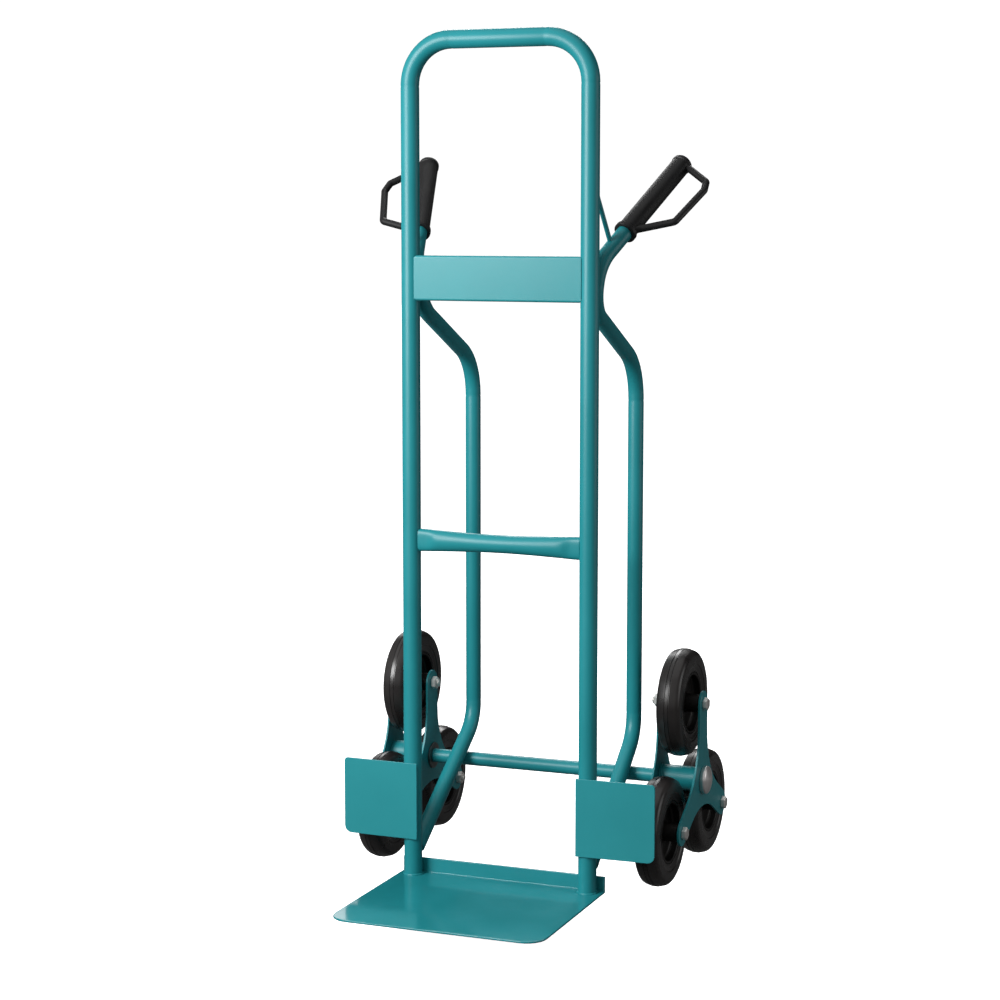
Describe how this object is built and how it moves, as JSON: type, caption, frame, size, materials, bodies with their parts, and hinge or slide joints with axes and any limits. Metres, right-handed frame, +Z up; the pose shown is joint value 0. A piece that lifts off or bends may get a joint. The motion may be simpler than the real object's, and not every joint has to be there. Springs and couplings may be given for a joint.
{
  "type": "stair-climbing sack truck",
  "caption": "Upright steel sack truck with a toe plate, a bent tube frame, rear handles with knuckle guards and turning clusters of wheels for climbing stairs.",
  "frame": {"origin": "underside of the toe plate, midway between the feet of the two uprights", "axes": "+Z up along the uprights, -Y out over the toe plate towards the load, +X to the right of someone who faces the load side"},
  "size_m": [0.5056, 0.5893, 1.1736],
  "materials": {
    "teal_paint": "gloss teal powder coat",
    "black_grip": "black moulded plastic, satin",
    "tyre_rubber": "black rubber",
    "black_wheel": "black moulded plastic",
    "zinc": "bright zinc plate",
    "chrome": "bright chrome"
  },
  "bodies": {
    "frame": {"main_frame_tube": "teal_paint", "cross_plate": "teal_paint", "mid_cross_tube": "teal_paint", "toe_plate": "teal_paint", "axle": "teal_paint", "side_rail_left": "teal_paint", "side_rail_right": "teal_paint", "handle_brace_left": "teal_paint", "handle_brace_right": "teal_paint", "hand_grip_left": "black_grip", "hand_grip_right": "black_grip", "wheel_guard_left": "teal_paint", "wheel_guard_right": "teal_paint", "axle_washer_left": "zinc", "axle_washer_right": "zinc", "hub_cap_left": "chrome", "hub_cap_right": "chrome"},
    "cluster_left": {"hub_tube_left": "teal_paint", "spider_inner_left": "teal_paint", "spider_outer_left": "teal_paint", "wheel_bolt_left_top": "zinc", "wheel_bolt_left_rear": "zinc", "wheel_bolt_left_front": "zinc", "wheel_nut_left_top": "zinc", "wheel_nut_left_rear": "zinc", "wheel_nut_left_front": "zinc"},
    "cluster_right": {"hub_tube_right": "teal_paint", "spider_inner_right": "teal_paint", "spider_outer_right": "teal_paint", "wheel_bolt_right_top": "zinc", "wheel_bolt_right_rear": "zinc", "wheel_bolt_right_front": "zinc", "wheel_nut_right_top": "zinc", "wheel_nut_right_rear": "zinc", "wheel_nut_right_front": "zinc"},
    "wheel_left_top": {"tyre_left_top": "tyre_rubber", "wheel_body_left_top": "black_wheel"},
    "wheel_left_rear": {"tyre_left_rear": "tyre_rubber", "wheel_body_left_rear": "black_wheel"},
    "wheel_left_front": {"tyre_left_front": "tyre_rubber", "wheel_body_left_front": "black_wheel"},
    "wheel_right_top": {"tyre_right_top": "tyre_rubber", "wheel_body_right_top": "black_wheel"},
    "wheel_right_rear": {"tyre_right_rear": "tyre_rubber", "wheel_body_right_rear": "black_wheel"},
    "wheel_right_front": {"tyre_right_front": "tyre_rubber", "wheel_body_right_front": "black_wheel"}
  },
  "joints": [
    {"name": "cluster_left_spin", "type": "hinge", "parent": "frame", "child": "cluster_left", "pos_m": [-0.2085, 0.178, 0.13125], "axis": [1, 0, 0], "continuous": true},
    {"name": "cluster_right_spin", "type": "hinge", "parent": "frame", "child": "cluster_right", "pos_m": [0.2085, 0.178, 0.13125], "axis": [1, 0, 0], "continuous": true},
    {"name": "wheel_left_top_spin", "type": "hinge", "parent": "cluster_left", "child": "wheel_left_top", "pos_m": [-0.2085, 0.178, 0.24075], "axis": [1, 0, 0], "continuous": true},
    {"name": "wheel_left_rear_spin", "type": "hinge", "parent": "cluster_left", "child": "wheel_left_rear", "pos_m": [-0.2085, 0.27283, 0.0765], "axis": [1, 0, 0], "continuous": true},
    {"name": "wheel_left_front_spin", "type": "hinge", "parent": "cluster_left", "child": "wheel_left_front", "pos_m": [-0.2085, 0.08317, 0.0765], "axis": [1, 0, 0], "continuous": true},
    {"name": "wheel_right_top_spin", "type": "hinge", "parent": "cluster_right", "child": "wheel_right_top", "pos_m": [0.2085, 0.178, 0.24075], "axis": [1, 0, 0], "continuous": true},
    {"name": "wheel_right_rear_spin", "type": "hinge", "parent": "cluster_right", "child": "wheel_right_rear", "pos_m": [0.2085, 0.27283, 0.0765], "axis": [1, 0, 0], "continuous": true},
    {"name": "wheel_right_front_spin", "type": "hinge", "parent": "cluster_right", "child": "wheel_right_front", "pos_m": [0.2085, 0.08317, 0.0765], "axis": [1, 0, 0], "continuous": true}
  ]
}
